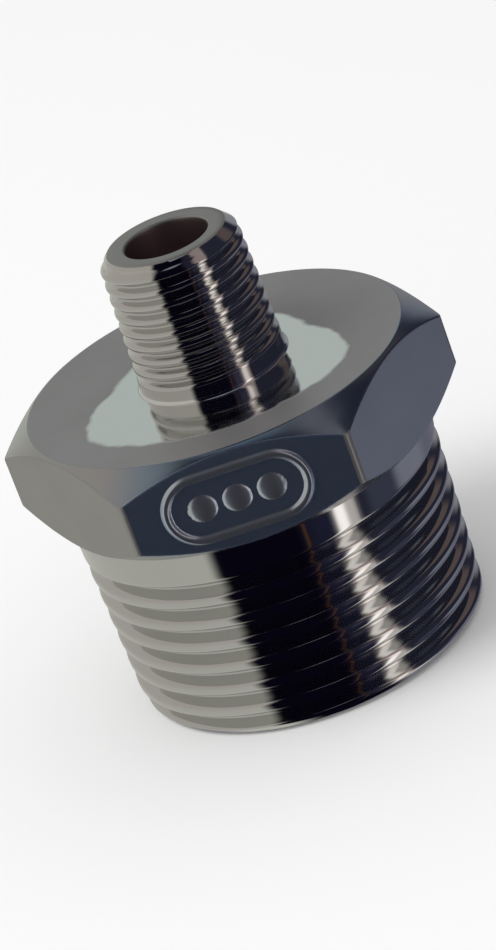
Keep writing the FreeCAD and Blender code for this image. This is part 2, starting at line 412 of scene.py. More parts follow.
@dataclass
class NippleBody:
    """The cast and turned body: both shanks, the hexagon between them and the bore.

    Attributes:
        across_flats: Width of the hexagon.
        edge_radius: Rounding of its upright edges.
        disc_inset: How far inside the flats the turned disc ends.
        chamfer_angle: Degrees that the hexagon's chamfers lean from level.
        hexagon_base: Height of the hexagon's underside.
        hexagon_top: Height of its upper side.
        overall: Height of the small end face.
        crown: How far below the hexagon's top the cone in the waterway ends.
        large_bore_radius: Radius of the bore at the large end.
        small_bore_radius: Radius of the bore at the small end.
        small_margin: How far above the hexagon the small thread's rows begin.
        large_margin: How far below the hexagon the large thread's rows end.
        corner_columns: Degrees from a corner to the columns on its rounded edge.
        flat_columns: Number of intervals along each flat.
        edge_span: Degrees from a corner to where the finish of a flat begins.
        large: The large thread.
        small: The small thread.
    """

    across_flats: float = 35.5
    edge_radius: float = 0.6
    disc_inset: float = 0.3
    chamfer_angle: float = 37.0
    hexagon_base: float = 19.3
    hexagon_top: float = 28.6
    overall: float = 41.6
    crown: float = 1.65
    large_bore_radius: float = 12.5
    small_bore_radius: float = 3.85
    small_margin: float = 0.35
    large_margin: float = 0.25
    corner_columns: tuple[float, ...] = (0.17, 0.5, 0.857, 1.05)
    flat_columns: int = 33
    edge_span: float = 1.2
    large: TaperThread = TaperThread(
        pitch=2.309, gauge_diameter=33.249, gauge_length=10.391, end_height=0.0, inward=1,
        last_groove=16.6455, face_bevel=0.8,
        offsets=(0.0, 0.03, 0.06, 0.089, 0.19, 0.283, 0.315, 0.35, 0.395, 0.443, 0.5),
    )
    small: TaperThread = TaperThread(
        pitch=1.337, gauge_diameter=13.157, gauge_length=6.01, end_height=41.6, inward=-1,
        last_groove=29.9685, face_bevel=0.95, root_rounding=0.13, crest_rounding=0.25,
        offsets=(0.0, 0.045, 0.089, 0.19, 0.283, 0.325, 0.38, 0.443, 0.5),
    )

    @property
    def disc_radius(self) -> float:
        """Radius of the turned flat above and below the hexagon."""
        return self.across_flats / 2 - self.disc_inset

    @property
    def cone_end(self) -> float:
        """Height where the cone in the waterway meets the small bore."""
        return self.hexagon_top - self.crown

    @property
    def cone_start(self) -> float:
        """Height where the large bore ends and the 45 degree cone begins."""
        return self.cone_end - self.large_bore_radius + self.small_bore_radius

    @property
    def small_level(self) -> float:
        """Height of the ring where the hexagon's profile hands over to the small thread."""
        return self.hexagon_top + self.small_margin

    @property
    def large_level(self) -> float:
        """Height of the ring where the hexagon's profile hands over to the large thread."""
        return self.hexagon_base - self.large_margin

    def columns(self) -> np.ndarray:
        """Angles of the columns: dense at each rounded corner, even along each flat.

        Returns:
            Angles in radians, rising from 0 or a little more to a turn.
        """
        edge = np.asarray(self.corner_columns)
        along = np.linspace(edge[-1], 60.0 - edge[-1], self.flat_columns + 1)[1:-1]
        sector = np.radians(np.concatenate([-edge[::-1], edge, along]))
        angles = (sector[None, :] + np.arange(6)[:, None] * TURN / 6).ravel()
        return np.sort(angles % TURN)

    def hexagon_reach(self, angle: np.ndarray) -> np.ndarray:
        """Distance from the axis to the hexagon's wall, with its upright edges rounded.

        Along a flat it is half the width over cos(angle from the flat's middle). Round a
        corner it is the far side of a circle of the edge radius, seen from the axis.

        Args:
            angle: Angles round the axis, where a corner lies at 0.

        Returns:
            The distance at each angle.
        """
        from_corner = (angle + TURN / 12) % (TURN / 6) - TURN / 12
        flat = self.across_flats / 2 / np.cos(TURN / 12 - np.abs(from_corner))
        centre = (self.across_flats / 2 - self.edge_radius) / math.cos(TURN / 12)
        sine = centre * np.sin(from_corner)
        round_edge = centre * np.cos(from_corner) + np.sqrt(
            np.maximum(self.edge_radius**2 - sine**2, 0.0)
        )
        tangent = math.atan2(
            self.edge_radius * math.sin(TURN / 12),
            centre + self.edge_radius * math.cos(TURN / 12),
        )
        return np.where(np.abs(from_corner) < tangent, round_edge, flat)

    def hexagon_profile(self, angles: np.ndarray) -> tuple[np.ndarray, list[Zone]]:
        """The profile from the small shank over the hexagon down to the large shank.

        Args:
            angles: Angles of the columns.

        Returns:
            Points of the profile for every column, and the zone of each band.
        """
        reach = self.hexagon_reach(angles)
        fall = (reach - self.disc_radius) * math.tan(math.radians(self.chamfer_angle))
        same = np.ones_like(angles)
        small_crest = self.small.crest(self.hexagon_top) * same
        large_crest = self.large.crest(self.hexagon_base) * same
        corners = [
            (self.small.radius(self.small_level * same, angles), self.small_level * same),
            (small_crest, self.hexagon_top * same),
            (self.disc_radius * same, self.hexagon_top * same),
            (reach, self.hexagon_top - fall),
            (reach, self.hexagon_base + fall),
            (self.disc_radius * same, self.hexagon_base * same),
            (large_crest, self.hexagon_base * same),
            (self.large.radius(self.large_level * same, angles), self.large_level * same),
        ]
        shares = [[], [0.1, 0.35, 0.63, 0.7, 0.8, 0.985], [0.5],
                  [0.02, 0.2, 0.4, 0.6, 0.8, 0.98], [0.5], [], []]
        radii = [0.3, 0.35, 0.22, 0.22, 0.2, 0.12]
        steps = [4, 4, 4, 4, 4, 2]
        profile = rounded_profile(
            np.array([np.stack(corner, axis=-1) for corner in corners]), radii, steps, shares
        )
        kinds = [Zone.THREAD, Zone.DISC, Zone.DISC, Zone.CHAMFER, Zone.CHAMFER, Zone.FLAT,
                 Zone.FLAT, Zone.FLAT, Zone.FACE, Zone.FACE, Zone.FACE, Zone.THREAD, Zone.THREAD]
        return profile, band_zones(kinds, steps, shares)

    def bore_profile(self, angles: np.ndarray) -> tuple[np.ndarray, list[Zone]]:
        """The profile from the large end face up through the bore to the small end face.

        Args:
            angles: Angles of the columns.

        Returns:
            Points of the profile for every column, and the zone of each band.
        """
        same = np.ones_like(angles)
        corners = [
            (self.large.radius(0.0 * same, angles), 0.0 * same),
            (self.large_bore_radius * same, 0.0 * same),
            (self.large_bore_radius * same, self.cone_start * same),
            (self.small_bore_radius * same, self.cone_end * same),
            (self.small_bore_radius * same, self.overall * same),
            (self.small.radius(self.overall * same, angles), self.overall * same),
        ]
        shares = [[0.5, 0.96], [0.03, 0.3, 0.65, 0.97], [0.03, 0.3, 0.65, 0.97],
                  [0.03, 0.25, 0.5, 0.75, 0.97], [0.04, 0.5]]
        radii = [0.2, 0.6, 0.6, 0.2]
        steps = [3, 4, 4, 3]
        profile = rounded_profile(
            np.array([np.stack(corner, axis=-1) for corner in corners]), radii, steps, shares
        )
        kinds = [Zone.FACE, Zone.FACE, Zone.BORE, Zone.BORE, Zone.BORE, Zone.BORE, Zone.BORE,
                 Zone.FLAT, Zone.FLAT]
        return profile, band_zones(kinds, steps, shares)

    def build(self) -> bpy.types.Object:
        """Builds the body as one closed piece that stands for the solid.

        Returns:
            The piece, which rides on the root body.
        """
        angles = self.columns()
        surface = SurfaceBuilder(angles)
        hexagon, hexagon_zones = self.hexagon_profile(angles)
        middle = surface.add_rings(hexagon)
        surface.join(middle, hexagon_zones)
        edge = math.radians(self.edge_span)
        # The flat facing -Y takes the bluish front finish, a painted reflection tint.
        surface.rezone(Zone.FLAT, Zone.FRONT, edge - TURN / 3, -edge - TURN / 6)
        # The flat facing front right takes the machined finish, whose lighter tone is painted light
        # on that side.
        surface.rezone(Zone.FLAT, Zone.FACE, edge - TURN / 6, -edge)
        bore, bore_zones = self.bore_profile(angles)
        inside = surface.add_rings(bore)
        surface.join(inside, bore_zones)
        surface.wind(
            self.small, middle[0], inside[-1], (self.small_level, self.overall), Zone.THREAD
        )
        surface.wind(self.large, inside[0], middle[-1], (0.0, self.large_level), Zone.THREAD)
        piece = bpy.data.objects.new("nipple_skin", surface.mesh("nipple_skin"))
        bpy.context.scene.collection.objects.link(piece)
        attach(piece, "root")
        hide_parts(NODE)
        return piece


@dataclass
class CastRelief:
    """The raised mark on the flat that faces -Y: an obround rib round three plain studs.

    Attributes:
        flat: Distance from the axis to the flat.
        middle_across: Where the mark's middle lies along the flat.
        middle_height: Height of its middle.
        length: Length over the rib.
        height: Height over the rib.
        rib_width: Width of the rib at half its rise.
        rib_foot: How far the rib's foot reaches past that width.
        rib_side: Width of each sloping side of the rib.
        relief: How far the rib stands out of the flat.
        stud_diameter: Diameter of a stud.
        stud_foot: How far a stud's foot reaches past that.
        stud_spacing: Middle to middle of neighbouring studs.
        dome_fall: How much flatter than a round dome a stud is at its foot, as a share.
        sink: How far the ground between the forms lies behind the flat.
        skirt: How far the slab reaches past the rib.
        cap_angle: Degrees of a circle that each round end of the slab covers.
        cap_columns: Number of columns in each round end.
        middle_columns: Number of columns between the round ends, with both ends.
        rows: Number of rows.
        backing: How far the slab reaches into the solid.
    """

    flat: float = 17.75
    middle_across: float = -0.4
    middle_height: float = 23.95
    length: float = 13.3
    height: float = 6.6
    rib_width: float = 0.7
    rib_foot: float = 0.16
    rib_side: float = 0.36
    relief: float = 0.3
    stud_diameter: float = 2.4
    stud_foot: float = 0.1
    stud_spacing: float = 3.1
    dome_fall: float = 0.2
    sink: float = 0.03
    skirt: float = 0.25
    cap_angle: float = 82.0
    cap_columns: int = 26
    middle_columns: int = 70
    rows: int = 71
    backing: float = 0.4

    def rise(self, across: np.ndarray, up: np.ndarray) -> np.ndarray:
        """How far the relief stands above its sunken base, from 0 to 1.

        The distance to an obround's middle line gives the rib, a plateau whose sides fall in a
        smooth step. The distance s to the nearest stud's centre, as a share of its radius,
        gives a dome: sqrt(1 - s^2) (1 - fall * s).

        Args:
            across: Distance from the mark's middle along the flat.
            up: Distance above its middle.

        Returns:
            The rise at each place.
        """
        radius = (self.height - self.rib_width) / 2
        half = (self.length - self.height) / 2
        outward = np.hypot(np.maximum(np.abs(across) - half, 0.0), up) - radius
        foot = self.rib_width / 2 + self.rib_foot
        rib = smooth_step((foot - np.abs(outward)) / self.rib_side)
        nearest = np.abs(across) % self.stud_spacing
        nearest = np.minimum(nearest, self.stud_spacing - nearest)
        nearest = np.where(np.abs(across) > 1.5 * self.stud_spacing, np.inf, nearest)
        away = np.hypot(nearest, up)
        share = np.minimum(away / (self.stud_diameter / 2 + self.stud_foot), 1.0)
        return np.maximum(rib, np.sqrt(1.0 - share**2) * (1.0 - self.dome_fall * share))

    def build(self) -> bpy.types.Object:
        """Builds the relief as a closed slab: a height field, its rim and a flat back.

        The columns of the height field are as long as the obround is high at each place, so
        that the slab stays within the flat.

        Returns:
            The piece, which rides on the root body.
        """
        half, radius = (self.length - self.height) / 2, self.height / 2 + self.skirt
        turned = np.radians(np.linspace(0.0, self.cap_angle, self.cap_columns))
        cap = half + radius * np.sin(turned)
        straight = np.linspace(-half, half, self.middle_columns)[1:-1]
        across = np.concatenate([-cap[::-1], straight, cap])
        reach = np.sqrt(radius**2 - np.maximum(np.abs(across) - half, 0.0) ** 2)
        up = np.linspace(-1.0, 1.0, self.rows)[:, None] * reach
        rows, columns = up.shape
        across = np.broadcast_to(across, up.shape)
        proud = (self.relief + self.sink) * self.rise(across, up) - self.sink
        front = np.stack(
            [across + self.middle_across, -self.flat - proud, up + self.middle_height], axis=-1
        )
        back = front.copy()
        back[..., 1] = -self.flat + self.backing
        numbers = np.arange(rows * columns).reshape(rows, columns)
        behind = numbers + rows * columns
        quads = [
            np.stack([numbers[:-1, :-1], numbers[:-1, 1:], numbers[1:, 1:], numbers[1:, :-1]], -1),
            np.stack([behind[1:, :-1], behind[1:, 1:], behind[:-1, 1:], behind[:-1, :-1]], -1),
        ]
        rim = np.concatenate(
            [numbers[0, :-1], numbers[:-1, -1], numbers[-1, :0:-1], numbers[:0:-1, 0]]
        )
        onward = np.roll(rim, -1)
        wall = np.stack([rim + rows * columns, onward + rows * columns, onward, rim], axis=-1)
        faces = np.concatenate([quad.reshape(-1, 4) for quad in quads] + [wall])
        points = np.concatenate([front.reshape(-1, 3), back.reshape(-1, 3)])
        zones = np.zeros(len(faces))
        piece = bpy.data.objects.new("cast_relief", make_mesh("cast_relief", points, faces, zones))
        bpy.context.scene.collection.objects.link(piece)
        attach(piece, "root")
        return piece


class GroupNet:
    """A shader node group under construction, with named inputs and outputs."""

    def __init__(self, name: str, inputs: dict[str, float], outputs: list[str]) -> None:
        """Makes the group with its sockets, which are all floats.

        Args:
            name: The group's name.
            inputs: Default value of each input, by name.
            outputs: Names of the outputs.
        """
        self.tree = bpy.data.node_groups.new(name, "ShaderNodeTree")
        sockets = self.tree.interface
        for label, value in inputs.items():
            made = sockets.new_socket(label, in_out="INPUT", socket_type="NodeSocketFloat")
            made.default_value = value
        for label in outputs:
            sockets.new_socket(label, in_out="OUTPUT", socket_type="NodeSocketFloat")
        self.inputs = self.tree.nodes.new("NodeGroupInput").outputs
        self.outputs = self.tree.nodes.new("NodeGroupOutput").inputs

    def node(self, kind: str, **settings: object) -> bpy.types.Node:
        """Adds a node and sets its plain properties.

        Args:
            kind: Blender's name for the node's type.
            settings: Value of each property, by name.

        Returns:
            The node.
        """
        made = self.tree.nodes.new(kind)
        for label, value in settings.items():
            setattr(made, label, value)
        return made

    def link(self, source: bpy.types.NodeSocket, target: bpy.types.NodeSocket) -> None:
        """Connects two sockets."""
        self.tree.links.new(source, target)

    def math(self, operation: str, *values: object) -> bpy.types.NodeSocket:
        """Adds a Math node.

        Args:
            operation: Blender's name for the operation.
            values: A socket or a number for each input.

        Returns:
            The result's socket.
        """
        made = self.node("ShaderNodeMath", operation=operation)
        for socket, value in zip(made.inputs, values):
            if isinstance(value, bpy.types.NodeSocket):
                self.link(value, socket)
            else:
                socket.default_value = value
        return made.outputs[0]

    def noise(self, point: bpy.types.NodeSocket, **settings: object) -> bpy.types.NodeSocket:
        """Adds a noise texture.

        Args:
            point: Where the noise is read.
            settings: A socket or a number for each input that isn't left as it is, by name.

        Returns:
            The noise's value, about 0.5 on average.
        """
        made = self.node("ShaderNodeTexNoise")
        self.link(point, made.inputs["Vector"])
        for label, value in settings.items():
            if isinstance(value, bpy.types.NodeSocket):
                self.link(value, made.inputs[label])
            else:
                made.inputs[label].default_value = value
        return made.outputs[0]

    def place(self) -> tuple[bpy.types.NodeSocket, ...]:
        """Reads the place on the piece, in Object coordinates.

        Returns:
            The point, its x, y and z, and its distance from the bore's axis.
        """
        point = self.node("ShaderNodeTexCoord").outputs["Object"]
        parts = self.node("ShaderNodeSeparateXYZ")
        self.link(point, parts.inputs[0])
        x, y, z = parts.outputs
        square = self.math("ADD", self.math("MULTIPLY", x, x), self.math("MULTIPLY", y, y))
        return point, x, y, z, self.math("SQRT", square)


def grain_group() -> bpy.types.NodeTree:
    """Fine marks that run round the bore's axis, as a lathe tool leaves them.

    The noise is read at (distance from the axis, height, a little of the angle), so it
    changes fast across the marks and slowly along them.

    Returns:
        The group, which puts out Grain.
    """
    net = GroupNet("turning_grain", {"Fineness": 4000.0, "Along": 0.6}, ["Grain"])
    _, x, y, z, radius = net.place()
    angle = net.math("ARCTAN2", y, x)
    joined = net.node("ShaderNodeCombineXYZ")
    fineness = net.inputs["Fineness"]
    net.link(net.math("MULTIPLY", radius, fineness), joined.inputs[0])
    net.link(net.math("MULTIPLY", z, fineness), joined.inputs[1])
    net.link(net.math("MULTIPLY", angle, net.inputs["Along"]), joined.inputs[2])
    net.link(net.noise(joined.outputs[0], Scale=1.0, Detail=3.0), net.outputs["Grain"])
    return net.tree


def blotch_group() -> bpy.types.NodeTree:
    """Broad soft patches, as handling and uneven polish leave them, and finer specks.

    Returns:
        The group, which puts out Blotch and Speckle.
    """
    net = GroupNet("handling_blotches", {"Size": 160.0}, ["Blotch", "Speckle"])
    point = net.node("ShaderNodeTexCoord").outputs["Object"]
    for label, factor, detail in (("Blotch", 1.0, 4.0), ("Speckle", 9.0, 2.0)):
        scale = net.math("MULTIPLY", net.inputs["Size"], factor)
        net.link(net.noise(point, Scale=scale, Detail=detail), net.outputs[label])
    return net.tree


def polish_sheen_group() -> bpy.types.NodeTree:
    """Where the disc under the small shank is polished and carries a painted sheen, out to an edge
    round the bore's axis.

    The edge lies at the far radius in front (-Y) and at the near one at the back, with a
    smooth step between them, and wanders a little with a noise.

    Returns:
        The group, which puts out Mask, 1 where the disc is polished and the sheen painted.
    """
    sizes = {"Near": 0.0092, "Far": 0.0136, "Blend": 0.0005, "Wander": 0.0016,
             "Patches": 260.0, "Back": -0.3, "Front": 0.6}
    net = GroupNet("disc_polish_and_sheen", sizes, ["Mask"])
    point, _, y, _, radius = net.place()
    backward = net.math("MULTIPLY", y, -1.0)
    front = net.math("DIVIDE", backward, net.math("MAXIMUM", radius, LEAST_RADIUS))
    ramp = net.node("ShaderNodeMapRange", interpolation_type="SMOOTHSTEP")
    net.link(front, ramp.inputs["Value"])
    net.link(net.inputs["Back"], ramp.inputs["From Min"])
    net.link(net.inputs["Front"], ramp.inputs["From Max"])
    net.link(net.inputs["Near"], ramp.inputs["To Min"])
    net.link(net.inputs["Far"], ramp.inputs["To Max"])
    swing = net.math("SUBTRACT", net.noise(point, Scale=net.inputs["Patches"]), 0.5)
    shift = net.math("MULTIPLY", swing, net.inputs["Wander"])
    edge = net.math("ADD", ramp.outputs["Result"], shift)
    inside = net.math("DIVIDE", net.math("SUBTRACT", edge, radius), net.inputs["Blend"])
    share = net.math("MINIMUM", net.math("ADD", inside, 0.5), 1.0)
    net.link(net.math("MAXIMUM", share, 0.0), net.outputs["Mask"])
    return net.tree


def shade_group() -> bpy.types.NodeTree:
    """How far a place lies round to the front right, where painted shade darkens the chamfer.

    The mask rises in a smooth step with the cosine of the angle from the direction that runs
    to x = 1, y = -1.732, which is (x / 2 - 0.866 y) / radius.

    Returns:
        The group, which puts out Mask, 1 where the painted shade is full.
    """
    net = GroupNet("front_shade", {"Low": 0.36, "High": 0.66}, ["Mask"])
    _, x, y, _, distance = net.place()
    radius = net.math("MAXIMUM", distance, LEAST_RADIUS)
    forward = net.math("ADD", net.math("MULTIPLY", x, 0.5), net.math("MULTIPLY", y, -0.866))
    ramp = net.node("ShaderNodeMapRange", interpolation_type="SMOOTHSTEP")
    net.link(net.math("DIVIDE", forward, radius), ramp.inputs["Value"])
    net.link(net.inputs["Low"], ramp.inputs["From Min"])
    net.link(net.inputs["High"], ramp.inputs["From Max"])
    net.link(ramp.outputs["Result"], net.outputs["Mask"])
    return net.tree


def place_group(tree: bpy.types.NodeTree, group: bpy.types.NodeTree) -> bpy.types.Node:
    """Places a shared group in a material.

    Args:
        tree: The material's node tree.
        group: The group.

    Returns:
        The group's node there.
    """
    made = tree.nodes.new("ShaderNodeGroup")
    made.node_tree = group
    return made


def blend(
    tree: bpy.types.NodeTree, mask: bpy.types.NodeSocket, first: object, second: object
) -> bpy.types.NodeSocket:
    """Mixes two colours or two numbers: first * (1 - mask) + second * mask.

    Args:
        tree: The material's node tree.
        mask: Share of the second.
        first: A socket, or a colour or number like the second.
        second: A colour, as a tuple, or a number.

    Returns:
        The mixed colour's or number's socket.
    """
    mix = tree.nodes.new("ShaderNodeMix")
    coloured = isinstance(second, tuple)
    mix.data_type = "RGBA" if coloured else "FLOAT"
    low, high, result = (6, 7, 2) if coloured else (2, 3, 0)
    tree.links.new(mask, mix.inputs[0])
    for place, value in ((low, first), (high, second)):
        if isinstance(value, bpy.types.NodeSocket):
            tree.links.new(value, mix.inputs[place])
        else:
            mix.inputs[place].default_value = (*value, 1.0) if coloured else value
    return mix.outputs[result]


@dataclass(frozen=True)
class SteelFinish:
    """One finish of the stainless steel.

    Attributes:
        name: What the finish is called.
        tone: Base colour.
        dark_tone: Colour in the broad patches.
        roughness: Lowest roughness.
        spread: How much rougher the patches are.
        grain_height: Height of the turning marks, in metres.
        skin_height: Height of the cast skin, in metres.
        fineness: Turning marks per metre.
        metallic: Share of metal reflection, the rest being matt cast skin.
        polish_sheen_tone: Lighter base colour where the disc's polish covers the finish, if it
            does: a painted sheen.
        polish_roughness: Roughness there.
        shade_tone: Darker base colour round the front right, a painted shade on the finish there,
            where a finish has one.
    """

    name: str
    tone: tuple[float, float, float]
    dark_tone: tuple[float, float, float]
    roughness: float
    spread: float
    grain_height: float
    skin_height: float
    fineness: float
    metallic: float = 1.0
    polish_sheen_tone: tuple[float, float, float] | None = None
    polish_roughness: float = 0.08
    shade_tone: tuple[float, float, float] | None = None

    def material(
        self, grain: bpy.types.NodeTree, blotch: bpy.types.NodeTree, polish: bpy.types.NodeTree,
        shade: bpy.types.NodeTree,
    ) -> bpy.types.Material:
        """Makes the material from the shared groups.

        Args:
            grain: The turning marks' group.
            blotch: The patches' group.
            polish: The group for the disc's polish and its painted sheen.
            shade: The group for the painted shade in front.

        Returns:
            The material.
        """
        material = bpy.data.materials.new(self.name)
        material.use_nodes = True
        tree = material.node_tree
        nodes, links = tree.nodes, tree.links
        shader = nodes["Principled BSDF"]
        shader.inputs["Metallic"].default_value = self.metallic
        marks = place_group(tree, grain)
        marks.inputs["Fineness"].default_value = self.fineness
        patches = place_group(tree, blotch)
        colour = blend(tree, patches.outputs["Blotch"], self.tone, self.dark_tone)
        rough = nodes.new("ShaderNodeMapRange")
        rough.inputs["To Min"].default_value = self.roughness
        rough.inputs["To Max"].default_value = self.roughness + self.spread
        links.new(patches.outputs["Blotch"], rough.inputs["Value"])
        roughness = rough.outputs["Result"]
        # Painted shade: the colour darkens round the front right.
        if self.shade_tone is not None:
            side = place_group(tree, shade).outputs["Mask"]
            colour = blend(tree, side, colour, self.shade_tone)
        # Where the disc is polished: smoother and fully metal, with a lighter base colour that is
        # painted sheen.
        if self.polish_sheen_tone is not None:
            shine = place_group(tree, polish).outputs["Mask"]
            colour = blend(tree, shine, colour, self.polish_sheen_tone)
            roughness = blend(tree, shine, roughness, self.polish_roughness)
            links.new(blend(tree, shine, self.metallic, 1.0), shader.inputs["Metallic"])
        links.new(colour, shader.inputs["Base Color"])
        links.new(roughness, shader.inputs["Roughness"])
        height = nodes.new("ShaderNodeMath")
        height.operation = "MULTIPLY_ADD"
        height.inputs[1].default_value = self.grain_height
        links.new(marks.outputs["Grain"], height.inputs[0])
        skin = nodes.new("ShaderNodeMath")
        skin.operation = "MULTIPLY"
        skin.inputs[1].default_value = self.skin_height
        links.new(patches.outputs["Speckle"], skin.inputs[0])
        links.new(skin.outputs[0], height.inputs[2])
        bump = nodes.new("ShaderNodeBump")
        bump.inputs["Strength"].default_value = 1.0
        bump.inputs["Distance"].default_value = 1.0
        links.new(height.outputs[0], bump.inputs["Height"])
        links.new(bump.outputs[0], shader.inputs["Normal"])
        return material


FINISHES = {
    Zone.THREAD: SteelFinish(
        "thread_steel", (0.62, 0.62, 0.605), (0.58, 0.575, 0.56), roughness=0.05, spread=0.03,
        grain_height=0.25e-6, skin_height=0.2e-6, fineness=5000.0,
    ),
    Zone.FACE: SteelFinish(
        "machined_steel", (0.53, 0.545, 0.56), (0.49, 0.50, 0.515), roughness=0.24, spread=0.06,
        grain_height=1.5e-6, skin_height=1e-6, fineness=6000.0,
    ),
    Zone.FLAT: SteelFinish(
        "flat_steel", (0.365, 0.36, 0.35), (0.32, 0.315, 0.305), roughness=0.38, spread=0.06,
        grain_height=0.0, skin_height=4e-6, fineness=4000.0, metallic=0.85,
    ),
    Zone.BORE: SteelFinish(
        "bore_steel", (0.62, 0.50, 0.53), (0.50, 0.40, 0.42), roughness=0.36, spread=0.1,
        grain_height=3e-6, skin_height=2e-6, fineness=3000.0,
    ),
    # The disc's polished patch gets a lighter base colour, a painted sheen, as well as its lower
    # roughness.
    Zone.DISC: SteelFinish(
        "disc_steel", (0.305, 0.30, 0.302), (0.265, 0.26, 0.262), roughness=0.38, spread=0.06,
        grain_height=1.5e-6, skin_height=1e-6, fineness=6000.0, metallic=0.6,
        polish_sheen_tone=(0.78, 0.80, 0.785), polish_roughness=0.08,
    ),
    # Bluish base colour: a painted reflection tint on the flat facing -Y.
    Zone.FRONT: SteelFinish(
        "front_steel", (0.45, 0.60, 0.86), (0.41, 0.53, 0.74), roughness=0.36, spread=0.06,
        grain_height=0.0, skin_height=4e-6, fineness=4000.0, metallic=0.967,
    ),
    # The chamfer's shade tone is painted shade, darker round the front right.
    Zone.CHAMFER: SteelFinish(
        "chamfer_steel", (0.45, 0.455, 0.46), (0.41, 0.415, 0.42), roughness=0.20, spread=0.06,
        grain_height=1e-6, skin_height=1e-6, fineness=6000.0, shade_tone=(0.26, 0.34, 0.43),
    ),
    # A lighter bluish base colour on the relief facing -Y: a painted reflection tint and painted
    # highlight.
    Zone.RELIEF: SteelFinish(
        "relief_steel", (0.64, 0.70, 0.78), (0.56, 0.61, 0.68), roughness=0.26, spread=0.06,
        grain_height=0.0, skin_height=3e-6, fineness=4000.0, metallic=0.95,
    ),
}


@dataclass(frozen=True)
class Glow:
    """A soft-edged field of light or dark on the tent that the metal reflects.

    Its outline is a superellipse in degrees: (across / half width)^n + (up / half height)^n = 1.

    Attributes:
        azimuth: Its middle, in degrees from the camera's side, growing to the right.
        elevation: Its middle above the horizon, in degrees.
        half_width: Half its width in degrees of azimuth.
        half_height: Half its height in degrees.
        softness: Width of its soft edge in degrees.
        colour: What it emits.
        top_colour: What it emits at its top, where that differs.
        squareness: The power n: 2 for an ellipse, more towards a rectangle.
    """

    azimuth: float
    elevation: float
    half_width: float
    half_height: float
    softness: float
    colour: tuple[float, float, float]
    top_colour: tuple[float, float, float] | None = None
    squareness: float = 3.0

    def paint(
        self, colour: np.ndarray, azimuth: np.ndarray, elevation: np.ndarray
    ) -> np.ndarray:
        """Lays the glow over what the tent shows in each direction.

        Args:
            colour: The tent's colours, shape (..., 3).
            azimuth: Azimuth of each direction, in degrees.
            elevation: Elevation of each direction, in degrees.

        Returns:
            The colours with the glow on them.
        """
        across = np.abs((azimuth - self.azimuth + 180.0) % 360.0 - 180.0) / self.half_width
        upward = (elevation - self.elevation) / self.half_height
        power = self.squareness
        reach = (across**power + np.abs(upward) ** power) ** (1.0 / power)
        size = min(self.half_width, self.half_height)
        cover = smooth_step((1.0 - reach) * size / self.softness + 0.5)[..., None]
        top = self.colour if self.top_colour is None else self.top_colour
        share = smooth_step(upward / 2.0 + 0.5)[..., None]
        own = np.array(self.colour) * (1.0 - share) + np.array(top) * share
        return colour * (1.0 - cover) + own * cover


